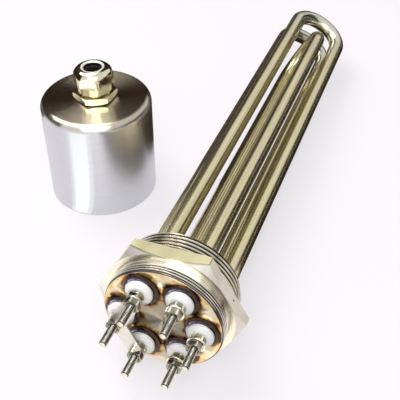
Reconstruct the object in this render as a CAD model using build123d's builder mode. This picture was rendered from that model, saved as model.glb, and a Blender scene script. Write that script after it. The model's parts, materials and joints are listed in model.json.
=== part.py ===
from build123d import *
from math import atan, atan2, cos, degrees, radians, sin, tan
import os

# Screw-plug immersion heater: three bent tubular elements welded into one hexagonal plug,
# with the screw-on terminal cover and its cable gland standing beside it. Millimetres, +Z up.
# The heater lies along +Y with its terminals towards -Y.

# Plug, with depths measured from the terminal face
cover_thread_od = 60.0
cover_thread_length = 5.2
cover_neck_od = 58.8
hex_start = 7.8
hex_across_flats = 65.0
hex_thickness = 7.1
hex_corner_margin = 0.5
hex_corner_slope = 30.0
tank_thread_od = 59.6
tank_thread_length = 13.7
thread_chamfer = 1.0

# Tubular elements
terminal_circle = 39.2
sheath_od = 10.0
sheath_wall = 0.8
sheath_play = 0.05
sheath_stand = 1.8
long_reach = 311.0
lower_reach = 315.5
short_reach = 286.0
coil_od = 3.4
coil_wire = 0.5
cold_length = 55.0
coil_grip = 10.0
seal_depth = 6.0

# Terminals, with heights measured from the terminal face
stud_od = 4.0
stud_tip = 23.0
stud_chamfer = 0.5
stud_play = 0.05
collar_od = 18.0
collar_crown_od = 13.0
collar_shoulder = 0.9
collar_gap = 0.2
ceramic_od = 13.4
ceramic_rim = 1.5
ceramic_nose_od = 9.2
ceramic_top = 4.8
ceramic_spigot = 3.0
spigot_play = 0.1
nut_across_flats = 7.0
nut_thickness = 3.2
washer_od = 9.0
washer_thickness = 0.8
bridge_width = 7.5
bridge_thickness = 1.0
bridge_hole_play = 0.15

# Terminal cover
cover_height = 63.1
cover_wall = 1.95
cover_mouth_length = 10.0
cover_thread_depth = 0.8
cover_shoulder = 4.4
cover_top = 2.0
cover_thread_play = 0.05
cover_from_face_x = -87.6
cover_from_face_y = 118.7

# Cable gland, with heights measured from the top of the cover
gland_thread_od = 18.6
gland_thread_length = 8.0
gland_hole_play = 0.1
gland_across_flats = 22.0
gland_turn = 29.0
gasket_od = 21.8
gasket_thickness = 0.8
gland_hex_height = 4.0
gland_neck_od = 17.6
gland_neck_top = 12.0
gland_way = 11.5
gland_pocket = 14.6
gland_pocket_floor = 3.4
locknut_height = 3.0
claw_play = 0.15
claw_wall = 1.1
claw_foot = 8.4
claw_ring_height = 3.0
claw_top = 16.3
claw_slots = 8
claw_slot_width = 1.0
seal_play = 0.1
seal_bore = 9.4
seal_gap = 0.3
dome_turn = 7.6
dome_across_flats = 21.0
dome_foot = 5.9
dome_skirt_od = 20.0
dome_skirt_top = 10.6
dome_side_od = 23.2
dome_side_top = 14.0
dome_rim_od = 13.6
dome_top = 19.7
dome_roof = 2.0
dome_mouth = 10.2
dome_bore_top = 15.2
dome_taper_od = 12.0
dome_thread_play = 0.05

# Sizes that follow from the ones above
hex_back = hex_start + hex_thickness
tank_end = hex_back + tank_thread_length
hex_corner_radius = hex_across_flats / 2 / cos(radians(30))
nut_corner_radius = nut_across_flats / 2 / cos(radians(30))
gland_corner_radius = gland_across_flats / 2 / cos(radians(30))
dome_corner_radius = dome_across_flats / 2 / cos(radians(30))
sheath_radius = sheath_od / 2
sheath_bore = sheath_radius - sheath_wall
coil_bore = coil_od / 2 - coil_wire
spigot_end = ceramic_spigot - sheath_stand
circle_radius = terminal_circle / 2
cover_thread = cover_thread_od / 2 + cover_thread_play
cover_bore = cover_thread_od / 2 - cover_thread_depth
cover_radius = cover_thread + cover_wall
inner_nut_top = ceramic_top + nut_thickness
washer_top = inner_nut_top + washer_thickness
bridge_top = inner_nut_top + bridge_thickness

# Each element joins two places on the terminal circle, in degrees seen from the terminals
elements = [(120.0, 0.0, long_reach), (60.0, 240.0, short_reach), (180.0, 300.0, lower_reach)]
terminals = [120.0, 60.0, 0.0, 300.0, 240.0, 180.0]
washer_places = [60.0, 0.0, 300.0]
bridge_corner = 180.0
bridge_ends = [120.0, 240.0]

# The heater rests on the rear edge of its lowest flat and on the far bend of its lowest element.
# A few passes find the slope at which both touch the floor.
leg_drop = circle_radius * sin(radians(60))
chord_rise = sin(radians(30))
chord_bend = leg_drop
slope = 0.0
for step in range(8):
    swing = atan(tan(slope) / chord_rise)
    bend_lift = chord_rise * chord_bend * (1 - cos(swing))
    drop = hex_across_flats / 2 - leg_drop + bend_lift - sheath_radius / cos(slope)
    run = lower_reach - sheath_radius - chord_bend * (1 - sin(swing)) - hex_back
    slope = atan2(drop, run)
face_height = hex_back * sin(slope) + hex_across_flats / 2 * cos(slope)

# The origin is on the floor, under the middle of the space that the two pieces take
face_x = -(cover_from_face_x - cover_radius + hex_corner_radius) / 2
face_y = -(lower_reach - stud_tip) * cos(slope) / 2
cover_x = face_x + cover_from_face_x
cover_y = face_y + cover_from_face_y

# Working planes: across the heater at its terminal face, and the same for the cover at its mouth.
# On a section plane x runs outwards from the axis and y runs along it.
face = Plane(
    origin=(face_x, face_y, face_height), x_dir=(1, 0, 0), z_dir=(0, -cos(slope), sin(slope))
)
mouth = Plane(origin=(cover_x, cover_y, 0))
deck = mouth.offset(cover_height)


def spot(angle):
    return (circle_radius * cos(radians(angle)), circle_radius * sin(radians(angle)))


def section_of(base, place=(0, 0)):
    origin = base.from_local_coords(Vector(*place, 0))
    return Plane(origin=origin, x_dir=base.x_dir, z_dir=-base.y_dir)


def axis_of(base, place=(0, 0)):
    return Axis(base.from_local_coords(Vector(*place, 0)), base.z_dir)


# The middle line of an element: one leg, a half-round bend and the other leg, from a given depth
def element_line(first, second, reach, start):
    near = face.from_local_coords(Vector(*spot(first), 0))
    far = face.from_local_coords(Vector(*spot(second), 0))
    bend = (far - near).length / 2
    straight = reach - sheath_radius - bend
    chord = far - near
    with BuildLine(Plane(origin=(near + far) / 2, x_dir=chord, z_dir=face.z_dir.cross(chord))) as line:
        Line((-bend, start), (-bend, straight))
        ThreePointArc((-bend, straight), (0, straight + bend), (bend, straight))
        Line((bend, straight), (bend, start))
    return line.line


os.makedirs("parts", exist_ok=True)

# Plug: one turned and milled piece with two threads, a hexagon between them and six bores
with BuildPart() as hex_plug:
    with BuildSketch(face.offset(-hex_back)):
        RegularPolygon(hex_corner_radius, 6)
    extrude(amount=hex_thickness)
    corner_circle = hex_across_flats / 2 + hex_corner_margin
    corner_depth = (hex_corner_radius - corner_circle) * tan(radians(hex_corner_slope))
    with BuildSketch(section_of(face)):
        Polygon(
            (0, -hex_start),
            (corner_circle, -hex_start),
            (hex_corner_radius, -hex_start - corner_depth),
            (hex_corner_radius, -hex_back),
            (0, -hex_back),
            align=None,
        )
    revolve(axis=axis_of(face), mode=Mode.INTERSECT)
    with BuildSketch(section_of(face)):
        Polygon(
            (0, 0),
            (cover_thread_od / 2 - thread_chamfer, 0),
            (cover_thread_od / 2, -thread_chamfer),
            (cover_thread_od / 2, -cover_thread_length),
            (cover_neck_od / 2, -cover_thread_length),
            (cover_neck_od / 2, -hex_start),
            (tank_thread_od / 2, -hex_start),
            (tank_thread_od / 2, -tank_end + thread_chamfer),
            (tank_thread_od / 2 - thread_chamfer, -tank_end),
            (0, -tank_end),
            align=None,
        )
    revolve(axis=axis_of(face))
    with BuildSketch(face):
        with Locations(*[spot(angle) for angle in terminals]):
            Circle(sheath_radius + sheath_play)
    extrude(amount=-tank_end, mode=Mode.SUBTRACT)
hex_plug.part.label = "hex_plug"
export_step(hex_plug.part, "parts/hex_plug.step")

# Welds: a raised bead round the end of each sheath, on the terminal face
with BuildPart() as weld_collars:
    for angle in terminals:
        with BuildSketch(section_of(face, spot(angle))):
            Polygon(
                (sheath_radius, 0),
                (collar_od / 2, 0),
                (collar_od / 2, collar_shoulder),
                (collar_crown_od / 2, sheath_stand - collar_gap),
                (sheath_radius, sheath_stand - collar_gap),
                align=None,
            )
        revolve(axis=axis_of(face, spot(angle)))
weld_collars.part.label = "weld_collars"
export_step(weld_collars.part, "parts/weld_collars.step")

# Terminal pins: a threaded stud outside, and a thinner pin that carries the current past the plug
pins = {}
for number, angle in enumerate(terminals, 1):
    with BuildPart() as terminal_pin:
        with BuildSketch(section_of(face, spot(angle))):
            Polygon(
                (0, stud_tip),
                (stud_od / 2 - stud_chamfer, stud_tip),
                (stud_od / 2, stud_tip - stud_chamfer),
                (stud_od / 2, -spigot_end),
                (coil_bore, -spigot_end),
                (coil_bore, -cold_length),
                (0, -cold_length),
                align=None,
            )
        revolve(axis=axis_of(face, spot(angle)))
    terminal_pin.part.label = f"terminal_pin_{number}"
    export_step(terminal_pin.part, f"parts/terminal_pin_{number}.step")
    pins[angle] = terminal_pin.part

# Elements: a bent sheath, a helix of fine wire drawn as a thin tube, and the powder packed round it
for number, (first, second, reach) in enumerate(elements, 1):
    with BuildPart() as element_sheath:
        with BuildSketch(face.offset(sheath_stand)):
            with Locations(spot(first)):
                Circle(sheath_radius)
                Circle(sheath_bore, mode=Mode.SUBTRACT)
        sweep(path=element_line(first, second, reach, -sheath_stand))
    element_sheath.part.label = f"element_sheath_{number}"
    export_step(element_sheath.part, f"parts/element_sheath_{number}.step")

    coil_start = cold_length - coil_grip
    with BuildPart() as heating_coil:
        with BuildSketch(face.offset(-coil_start)):
            with Locations(spot(first)):
                Circle(coil_od / 2)
                Circle(coil_bore, mode=Mode.SUBTRACT)
        sweep(path=element_line(first, second, reach, coil_start))
    heating_coil.part.label = f"heating_coil_{number}"
    export_step(heating_coil.part, f"parts/heating_coil_{number}.step")

    with BuildPart() as magnesia_fill:
        with BuildSketch(face.offset(-seal_depth)):
            with Locations(spot(first)):
                Circle(sheath_bore)
        sweep(path=element_line(first, second, reach, seal_depth))
        add(heating_coil.part, mode=Mode.SUBTRACT)
        add(pins[first], mode=Mode.SUBTRACT)
        add(pins[second], mode=Mode.SUBTRACT)
    magnesia_fill.part.label = f"magnesia_fill_{number}"
    export_step(magnesia_fill.part, f"parts/magnesia_fill_{number}.step")

# End seals: a plug of resin in each sheath end, between the ceramic and the powder
with BuildPart() as end_seals:
    with BuildSketch(face.offset(-seal_depth)):
        with Locations(*[spot(angle) for angle in terminals]):
            Circle(sheath_bore)
            Circle(coil_bore, mode=Mode.SUBTRACT)
    extrude(amount=seal_depth - spigot_end)
end_seals.part.label = "end_seals"
export_step(end_seals.part, "parts/end_seals.step")

# Ceramic beads: a wide foot on the end of the sheath, a tapered nose under the nut and a spigot
for number, angle in enumerate(terminals, 1):
    with BuildPart() as ceramic_bead:
        with BuildSketch(section_of(face, spot(angle))):
            Polygon(
                (stud_od / 2 + stud_play, -spigot_end),
                (sheath_bore - spigot_play, -spigot_end),
                (sheath_bore - spigot_play, sheath_stand),
                (ceramic_od / 2, sheath_stand),
                (ceramic_od / 2, sheath_stand + ceramic_rim),
                (ceramic_nose_od / 2, ceramic_top),
                (stud_od / 2 + stud_play, ceramic_top),
                align=None,
            )
        revolve(axis=axis_of(face, spot(angle)))
    ceramic_bead.part.label = f"ceramic_bead_{number}"
    export_step(ceramic_bead.part, f"parts/ceramic_bead_{number}.step")

# Nuts on the studs: one on each ceramic, one on each washer or on the bridge
with BuildPart() as inner_nuts:
    with BuildSketch(face.offset(ceramic_top)):
        with Locations(*[spot(angle) for angle in terminals]):
            RegularPolygon(nut_corner_radius, 6)
            Circle(stud_od / 2 + stud_play, mode=Mode.SUBTRACT)
    extrude(amount=nut_thickness)
inner_nuts.part.label = "inner_nuts"
export_step(inner_nuts.part, "parts/inner_nuts.step")

with BuildPart() as outer_nuts:
    for places, seat in ((washer_places, washer_top), ([bridge_corner] + bridge_ends, bridge_top)):
        with BuildSketch(face.offset(seat)):
            with Locations(*[spot(angle) for angle in places]):
                RegularPolygon(nut_corner_radius, 6)
                Circle(stud_od / 2 + stud_play, mode=Mode.SUBTRACT)
        extrude(amount=nut_thickness)
outer_nuts.part.label = "outer_nuts"
export_step(outer_nuts.part, "parts/outer_nuts.step")

with BuildPart() as flat_washers:
    with BuildSketch(face.offset(inner_nut_top)):
        with Locations(*[spot(angle) for angle in washer_places]):
            Circle(washer_od / 2)
            Circle(stud_od / 2 + bridge_hole_play, mode=Mode.SUBTRACT)
    extrude(amount=washer_thickness)
flat_washers.part.label = "flat_washers"
export_step(flat_washers.part, "parts/flat_washers.step")

# Star bridge: a flat V of plate that joins three terminals, its arms along the chords
with BuildPart() as star_bridge:
    with BuildSketch(face.offset(inner_nut_top)):
        for angle in bridge_ends:
            start = Vector(*spot(bridge_corner))
            end = Vector(*spot(angle))
            lean = degrees(atan2(end.Y - start.Y, end.X - start.X))
            with Locations((start + end) / 2):
                SlotCenterToCenter((end - start).length, bridge_width, rotation=lean)
        with Locations(*[spot(angle) for angle in [bridge_corner] + bridge_ends]):
            Circle(stud_od / 2 + bridge_hole_play, mode=Mode.SUBTRACT)
    extrude(amount=bridge_thickness)
star_bridge.part.label = "star_bridge"
export_step(star_bridge.part, "parts/star_bridge.step")

# Terminal cover: one turned cup, threaded inside its mouth, with a round hole for the gland
with BuildPart() as terminal_cover:
    roof = cover_height - cover_top
    gland_hole = gland_thread_od / 2 + gland_hole_play
    inner_shoulder = cover_shoulder - (cover_radius - cover_bore)
    with BuildSketch(section_of(mouth)):
        Polygon(
            (cover_thread, 0),
            (cover_radius, 0),
            (cover_radius, cover_height),
            (gland_hole, cover_height),
            (gland_hole, roof),
            (cover_bore, roof),
            (cover_bore, cover_mouth_length),
            (cover_thread, cover_mouth_length),
            align=None,
        )
        fillet(vertices().sort_by_distance((cover_radius, cover_height))[0], cover_shoulder)
        fillet(vertices().sort_by_distance((cover_bore, roof))[0], inner_shoulder)
    revolve(axis=axis_of(mouth))
terminal_cover.part.label = "terminal_cover"
export_step(terminal_cover.part, "parts/terminal_cover.step")

# Gland body: a thread through the cover, a hexagon on it and a hollow neck for the dome nut
with BuildPart() as gland_body:
    with BuildSketch(deck.offset(gasket_thickness)):
        RegularPolygon(gland_corner_radius, 6, rotation=gland_turn)
    extrude(amount=gland_hex_height)
    with BuildSketch(section_of(deck)):
        Polygon(
            (0, -gland_thread_length),
            (gland_thread_od / 2, -gland_thread_length),
            (gland_thread_od / 2, gasket_thickness),
            (gland_neck_od / 2, gasket_thickness),
            (gland_neck_od / 2, gland_neck_top),
            (0, gland_neck_top),
            align=None,
        )
    revolve(axis=axis_of(deck))
    with BuildSketch(section_of(deck)):
        Polygon(
            (0, -gland_thread_length),
            (gland_way / 2, -gland_thread_length),
            (gland_way / 2, gland_pocket_floor),
            (gland_pocket / 2, gland_pocket_floor),
            (gland_pocket / 2, gland_neck_top),
            (0, gland_neck_top),
            align=None,
        )
    revolve(axis=axis_of(deck), mode=Mode.SUBTRACT)
gland_body.part.label = "gland_body"
export_step(gland_body.part, "parts/gland_body.step")

with BuildPart() as gland_gasket:
    with BuildSketch(deck):
        Circle(gasket_od / 2)
        Circle(gland_thread_od / 2 + gland_hole_play, mode=Mode.SUBTRACT)
    extrude(amount=gasket_thickness)
gland_gasket.part.label = "gland_gasket"
export_step(gland_gasket.part, "parts/gland_gasket.step")

with BuildPart() as gland_locknut:
    with BuildSketch(deck.offset(-cover_top - locknut_height)):
        RegularPolygon(gland_corner_radius, 6)
        Circle(gland_thread_od / 2 + gland_hole_play, mode=Mode.SUBTRACT)
    extrude(amount=locknut_height)
gland_locknut.part.label = "gland_locknut"
export_step(gland_locknut.part, "parts/gland_locknut.step")

# Clamping claw: a split ring whose fingers the dome nut presses on to the rubber seal
with BuildPart() as gland_claw:
    claw_radius = gland_pocket / 2 - claw_play
    with BuildSketch(deck.offset(claw_foot)):
        Circle(claw_radius)
        Circle(claw_radius - claw_wall, mode=Mode.SUBTRACT)
    extrude(amount=claw_top - claw_foot)
    with BuildSketch(deck.offset(claw_foot + claw_ring_height)):
        with PolarLocations(claw_radius - claw_wall / 2, claw_slots):
            Rectangle(claw_wall * 2, claw_slot_width)
    extrude(amount=claw_top - claw_foot - claw_ring_height, mode=Mode.SUBTRACT)
gland_claw.part.label = "gland_claw"
export_step(gland_claw.part, "parts/gland_claw.step")

with BuildPart() as gland_seal:
    with BuildSketch(deck.offset(claw_foot)):
        Circle(claw_radius - claw_wall - seal_play)
        Circle(seal_bore / 2, mode=Mode.SUBTRACT)
    extrude(amount=dome_top - dome_roof - seal_gap - claw_foot)
gland_seal.part.label = "gland_seal"
export_step(gland_seal.part, "parts/gland_seal.step")

# Dome nut: a domed turning with a round skirt, cut to a hexagon outside and hollow inside
with BuildPart() as gland_dome_nut:
    with BuildSketch(section_of(deck)):
        with BuildLine():
            Polyline(
                (0, dome_top),
                (0, dome_foot),
                (dome_skirt_od / 2, dome_foot),
                (dome_skirt_od / 2, dome_skirt_top),
                (dome_side_od / 2, dome_skirt_top),
                (dome_side_od / 2, dome_side_top),
            )
            TangentArc(
                (dome_side_od / 2, dome_side_top), (dome_rim_od / 2, dome_top), tangent=(0, 1)
            )
            Line((dome_rim_od / 2, dome_top), (0, dome_top))
        make_face()
    revolve(axis=axis_of(deck))
    with BuildSketch(deck.offset(dome_foot)):
        RegularPolygon(dome_corner_radius, 6, rotation=dome_turn)
    extrude(amount=dome_top - dome_foot, mode=Mode.INTERSECT)
    with BuildSketch(section_of(deck)):
        dome_bore = gland_neck_od / 2 + dome_thread_play
        Polygon(
            (0, dome_foot),
            (dome_bore, dome_foot),
            (dome_bore, dome_bore_top),
            (dome_taper_od / 2, dome_top - dome_roof),
            (dome_mouth / 2, dome_top - dome_roof),
            (dome_mouth / 2, dome_top),
            (0, dome_top),
            align=None,
        )
    revolve(axis=axis_of(deck), mode=Mode.SUBTRACT)
gland_dome_nut.part.label = "gland_dome_nut"
export_step(gland_dome_nut.part, "parts/gland_dome_nut.step")
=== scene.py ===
# %% [markdown]
# # A screw-plug immersion heater, with its terminal cover set down beside it
#
# The heater lies on a table: a hexagonal plug, three bent tubes behind it and six terminals in
# front of it. Its turned cup of a cover stands next to it, with a cable gland on top.
#
# The pieces already exist as plain solids at their real size. This lesson loads them as a frame
# that never moves, and builds the pieces that the eye sees round it: threads, rounded edges,
# weld ripples, and the finish of each metal.

# %% Load the frame
import json
import math
import random
import bmesh
import bpy
from mathutils import Matrix, Vector
from mathutils.geometry import delaunay_2d_cdt


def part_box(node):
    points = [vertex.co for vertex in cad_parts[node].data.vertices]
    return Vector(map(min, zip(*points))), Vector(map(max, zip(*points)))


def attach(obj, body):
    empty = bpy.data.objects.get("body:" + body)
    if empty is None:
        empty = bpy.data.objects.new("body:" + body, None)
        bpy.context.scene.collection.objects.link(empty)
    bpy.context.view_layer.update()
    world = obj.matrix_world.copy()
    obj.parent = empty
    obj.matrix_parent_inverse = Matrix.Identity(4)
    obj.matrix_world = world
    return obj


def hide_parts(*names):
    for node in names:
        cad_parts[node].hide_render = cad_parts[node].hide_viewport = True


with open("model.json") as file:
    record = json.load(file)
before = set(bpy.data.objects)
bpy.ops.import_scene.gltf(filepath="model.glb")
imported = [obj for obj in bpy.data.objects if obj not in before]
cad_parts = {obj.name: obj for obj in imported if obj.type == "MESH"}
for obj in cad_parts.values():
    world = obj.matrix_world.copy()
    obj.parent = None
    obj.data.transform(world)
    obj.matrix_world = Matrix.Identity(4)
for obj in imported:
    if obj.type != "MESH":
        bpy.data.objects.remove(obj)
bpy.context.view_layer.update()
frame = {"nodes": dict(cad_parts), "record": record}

# %% [markdown]
# ## Where the pieces sit
#
# Every turned piece is easiest to draw standing on its own axis. So each one is modelled in
# millimetres with its axis along Z, and then placed by a matrix. The frame's record says where
# the axes are: the studs give the heater's axis, and the cover's mouth gives the cover's.

# %% Places on the heater and on the cover
MM = 0.001
TAU = math.tau
mounts = {mount["name"]: mount for mount in frame["record"]["mounts"]}
stud_mount_height = 17.5
terminal_angles = (120, 60, 0, 300, 240, 180)
terminal_radius = mounts["terminal_studs"]["dims"]["pcd_mm"] / 2


def upright_on(axis, origin):
    """A place whose Z is the given axis and whose X stays level."""
    up = Vector(axis).normalized()
    level = Vector((1, 0, 0))
    turned = Matrix((level, up.cross(level), up)).transposed()
    return Matrix.Translation(origin) @ turned.to_4x4()


stud_axis = Vector(mounts["terminal_studs"]["axis"])
stud_middle = Vector(mounts["terminal_studs"]["pos_m"])
plug_place = upright_on(stud_axis, stud_middle - stud_axis.normalized() * stud_mount_height * MM)
cover_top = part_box("terminal_cover")[1].z
cover_middle = Vector(mounts["cover_mouth"]["pos_m"])
cover_place = Matrix.Translation((cover_middle.x, cover_middle.y, 0))
deck_place = Matrix.Translation((cover_middle.x, cover_middle.y, cover_top))


def terminal_spot(angle):
    """Where a terminal's axis meets the plug's face, in the plug's own millimetres."""
    return Vector((terminal_radius * math.cos(math.radians(angle)), terminal_radius * math.sin(math.radians(angle))))


def terminal_place(angle, twist=0.0):
    """The place of a piece on one terminal's axis, turned about it by twist degrees."""
    shift = Matrix.Translation((*terminal_spot(angle) * MM, 0))
    return plug_place @ shift @ Matrix.Rotation(math.radians(twist), 4, "Z")


print("plug face at", plug_place.translation[:], "cover top at", round(cover_top, 4))

# %% [markdown]
# ## Turning
#
# A lathe turns a profile round an axis. One function does the same here: it asks for the
# profile at each angle and skins neighbouring profiles with quads. Because the profile may
# differ from angle to angle, the same function also makes hexagons (the flats cut the profile
# off), threads (the profile climbs as it goes round) and weld ripples (the profile swells).

# %% The lathe
def skin(shape, columns, climb=0):
    """Quads between neighbouring columns of points. climb is how many rows a thread gains in a turn."""
    made = [[shape.verts.new(Vector(point) * MM) for point in column] for column in columns]
    last = len(made[0]) - 1
    for index, here in enumerate(made):
        after = made[(index + 1) % len(made)]
        gain = climb if index == len(made) - 1 else 0
        for row in range(last):
            low, high = min(row + gain, last), min(row + 1 + gain, last)
            corners = [here[row], here[row + 1], after[high], after[low]]
            shape.faces.new(corners if low != high else corners[:3])


def turn(shape, profile_at, columns=96, climb=0):
    """Turns a profile of (radius, height) pairs round Z. It may be a function of the angle."""
    rows = []
    for index in range(columns):
        angle = TAU * index / columns
        profile = profile_at(angle) if callable(profile_at) else profile_at
        rows.append([(r * math.cos(angle), r * math.sin(angle), z) for r, z in profile])
    skin(shape, rows, climb)


def rounded(corners, steps=4):
    """A profile whose corners are (radius, height), or (radius, height, rounding)."""
    points = []
    for index, corner in enumerate(corners):
        here = Vector(corner[:2])
        if len(corner) == 2:
            points.append(tuple(here))
            continue
        before = (Vector(corners[index - 1][:2]) - here).normalized()
        after = (Vector(corners[(index + 1) % len(corners)][:2]) - here).normalized()
        half = before.angle(after) / 2
        middle = here + (before + after).normalized() * corner[2] / math.sin(half)
        start = here + before * corner[2] / math.tan(half) - middle
        end = here + after * corner[2] / math.tan(half) - middle
        sweep = math.atan2(start.cross(end), start.dot(end))
        for step in range(steps + 1):
            points.append(tuple(middle + Matrix.Rotation(sweep * step / steps, 2) @ start))
    return points


def ring(corners, steps=4):
    """A closed profile, for a piece with a hole through it."""
    profile = rounded(corners, steps)
    return [*profile, profile[0]]


print("a rounded corner has", len(rounded([(1, 0), (1, 1, 0.2), (0, 1)])), "points")

# %% [markdown]
# ## Milling flats
#
# A hexagon on a turned piece is a round profile with six flats milled off it. Where a chamfer
# is turned first, the flats cut it in the curved arcs that every nut shows. Cutting the profile
# exactly at each angle gives those arcs as clean edges, where a boolean would leave slivers.

# %% The milling cutter
def milled(profile, peak, across_flats, twist=0.0):
    """Cuts a turned profile with six flats. peak is the index of its last corner on the way out."""

    def cut(side, reach):
        kept = [side[0]]
        for (near_r, near_z), (r, z) in zip(side, side[1:]):
            if r <= reach:
                kept.append((r, z))
            elif near_r < reach:
                kept.append((reach, near_z + (z - near_z) * (reach - near_r) / (r - near_r)))
            else:
                kept.append(kept[-1])
        return kept

    def profile_at(angle):
        swing = (angle - math.radians(twist)) % (TAU / 6) - TAU / 12
        reach = across_flats / 2 / math.cos(swing)
        return cut(profile[: peak + 1], reach) + cut(profile[:peak:-1], reach)[::-1]

    return profile_at


# %% [markdown]
# ## Cutting threads
#
# A thread's crest is a helix, so rows of points that climb with it keep the crest one clean
# edge. Rows that would pass the ends of the thread are held there, and fade into the plain
# metal. Bump could not do this: the ridges show on the outline.

# %% The threading tool
rows_per_pitch = 10


def threaded(begin, end, crest, depth, pitch, edge_begin, edge_end, fade=1.4, rows=rows_per_pitch, origin=None):
    """A thread from one height to another. The edges are the radii that it fades to at its ends."""
    origin = begin if origin is None else origin
    count = math.ceil(rows * ((end - begin) / pitch + 1))

    def profile_at(angle):
        points = []
        for row in range(count + 1):
            height = begin + pitch * (row / rows + angle / TAU - 1)
            height = min(max(height, begin), end)
            phase = (height - origin) / pitch - angle / TAU
            fullness = min(max(0.5 + 0.72 * math.cos(TAU * phase), 0), 1)
            radius = crest - depth * (1 - fullness)
            above = min(edge_begin + (height - begin) * fade, edge_end + (end - height) * fade)
            below = max(edge_begin - (height - begin) * fade, edge_end - (end - height) * fade)
            points.append((max(below, min(above, radius)), height))
        return points

    return profile_at


# %% [markdown]
# ## From shape to piece
#
# Each shape becomes one object: doubled points are welded and the faces turned outwards. Where a
# piece asks for it, its edges are broken a little by a bevel, as no real edge is a perfect corner;
# the others keep their sharper edges sharp. A weighted normal keeps the flats flat in reflections
# while the small roundings stay smooth.

# %% Finishing a piece
def finish_piece(shape, name, place, body, nodes, break_edge=0.0, sharp=38):
    """Makes the object, puts it in its place, and lets it stand for the plain solids."""
    bmesh.ops.remove_doubles(shape, verts=shape.verts, dist=2e-7)
    bmesh.ops.dissolve_degenerate(shape, edges=shape.edges, dist=1e-7)
    bmesh.ops.recalc_face_normals(shape, faces=shape.faces)
    mesh = bpy.data.meshes.new(name)
    shape.to_mesh(mesh)
    shape.free()
    mesh.shade_smooth()
    piece = bpy.data.objects.new(name, mesh)
    bpy.context.scene.collection.objects.link(piece)
    piece.matrix_world = place
    if break_edge:
        bevel = piece.modifiers.new("broken edges", "BEVEL")
        bevel.width = break_edge * MM
        bevel.segments = 2
        bevel.angle_limit = math.radians(sharp)
    else:
        mesh.set_sharp_from_angle(angle=math.radians(sharp))
    weighted = piece.modifiers.new("flat flats", "WEIGHTED_NORMAL")
    weighted.keep_sharp = True
    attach(piece, body)
    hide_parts(*nodes)
    return piece


made = {}


def keep(piece, kind):
    """Notes a finished piece under its kind of finish, so that the finish is given to all at once."""
    made.setdefault(kind, []).append(piece)
    return piece


# %% [markdown]
# ## The plug
#
# The plug is one turned and milled piece of stainless steel: a fine thread for the cover, a
# smooth neck with two scribed lines, a hexagon, and a coarse pipe thread for the tank. Six bores
# run through it. The two end faces are flat sheets with holes, so they are filled by a
# triangulation that knows holes. Everything between them comes off the lathe.

# %% Sizes of the plug
plug_columns = 192
face_edge = 29.0
cover_crest = mounts["cover_thread"]["dims"]["r_mm"]
cover_thread_end = -5.2
neck_radius = 29.4
scribed_lines = (-6.1, -6.9)
scribe_depth = 0.14
hex_front = -7.8
hex_back = -14.9
hex_flats = 65.0
hex_corner = hex_flats / 2 / math.cos(TAU / 12)
corner_circle = hex_flats / 2 + 0.5
corner_slope = math.tan(math.radians(30))
relief_radius = 28.2
relief_end = -16.5
tank_crest = mounts["tank_thread"]["dims"]["r_mm"]
tank_end = -28.6
tank_edge = 28.3
bore_radius = 5.05
bore_columns = 48


# %% Flat faces with six bores
def bored_face(shape, edge_radius, height):
    """A flat round face with the six bores left open."""
    rims = [[Vector((edge_radius, 0)), Vector((0, 0)), plug_columns]]
    rims += [[Vector((bore_radius, 0)), terminal_spot(angle), bore_columns] for angle in terminal_angles]
    points, edges = [], []
    for arm, centre, count in rims:
        first = len(points)
        points += [centre + Matrix.Rotation(TAU * index / count, 2) @ arm for index in range(count)]
        edges += [(first + index, first + (index + 1) % count) for index in range(count)]
    flat, _, faces, *_ = delaunay_2d_cdt(points, edges, [], 2, 1e-7)
    corners = [shape.verts.new((p.x * MM, p.y * MM, height * MM)) for p in flat]
    for face in faces:
        shape.faces.new([corners[index] for index in face])


def bores(shape, top, bottom):
    """The walls of the six bores."""
    for angle in terminal_angles:
        x, y = terminal_spot(angle)
        wall = []
        for index in range(bore_columns):
            turned = TAU * index / bore_columns
            edge = (x + bore_radius * math.cos(turned), y + bore_radius * math.sin(turned))
            wall.append([(*edge, top), (*edge, bottom)])
        skin(shape, wall)


# %% Make the plug
plug = bmesh.new()
bored_face(plug, face_edge, 0)
turn(plug, threaded(cover_thread_end, 0, cover_crest, 0.8, 1.5, neck_radius, face_edge), plug_columns, rows_per_pitch)
neck = [(neck_radius, cover_thread_end)]
for line in scribed_lines:
    neck += [(neck_radius, line + 0.18), (neck_radius - scribe_depth, line), (neck_radius, line - 0.18)]
neck.append((neck_radius, hex_front))
turn(plug, neck, plug_columns)
hexagon = [(neck_radius, hex_front), (corner_circle, hex_front)]
hexagon.append((hex_corner, hex_front - (hex_corner - corner_circle) * corner_slope))
hexagon += [(hex_corner, hex_back), (relief_radius, hex_back)]
turn(plug, milled(hexagon, 2, hex_flats), plug_columns)
turn(plug, [(relief_radius, hex_back), (relief_radius, relief_end)], plug_columns)
tank = threaded(tank_end, relief_end, tank_crest, 1.45, 2.309, tank_edge, relief_radius)
turn(plug, tank, plug_columns, rows_per_pitch)
bored_face(plug, tank_edge, tank_end)
bores(plug, 0, tank_end)
screw_plug = keep(finish_piece(plug, "screw_plug", plug_place, "heater_and_cover", ["hex_plug"], sharp=30), "plug")
print("plug faces:", len(screw_plug.data.polygons))

# %% [markdown]
# ## Welds
#
# Each tube passes through its bore and is welded in by a bead that stands up from the face like
# a low ring. A hand-fed bead is never quite round, and it sets in small overlapping ripples. So
# the ring's profile swells and leans a little with the angle, differently for each terminal.

# %% Weld rings
weld_columns = 144
weld_edge = 8.8
weld_crown = 1.5
ripples = 40


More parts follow.
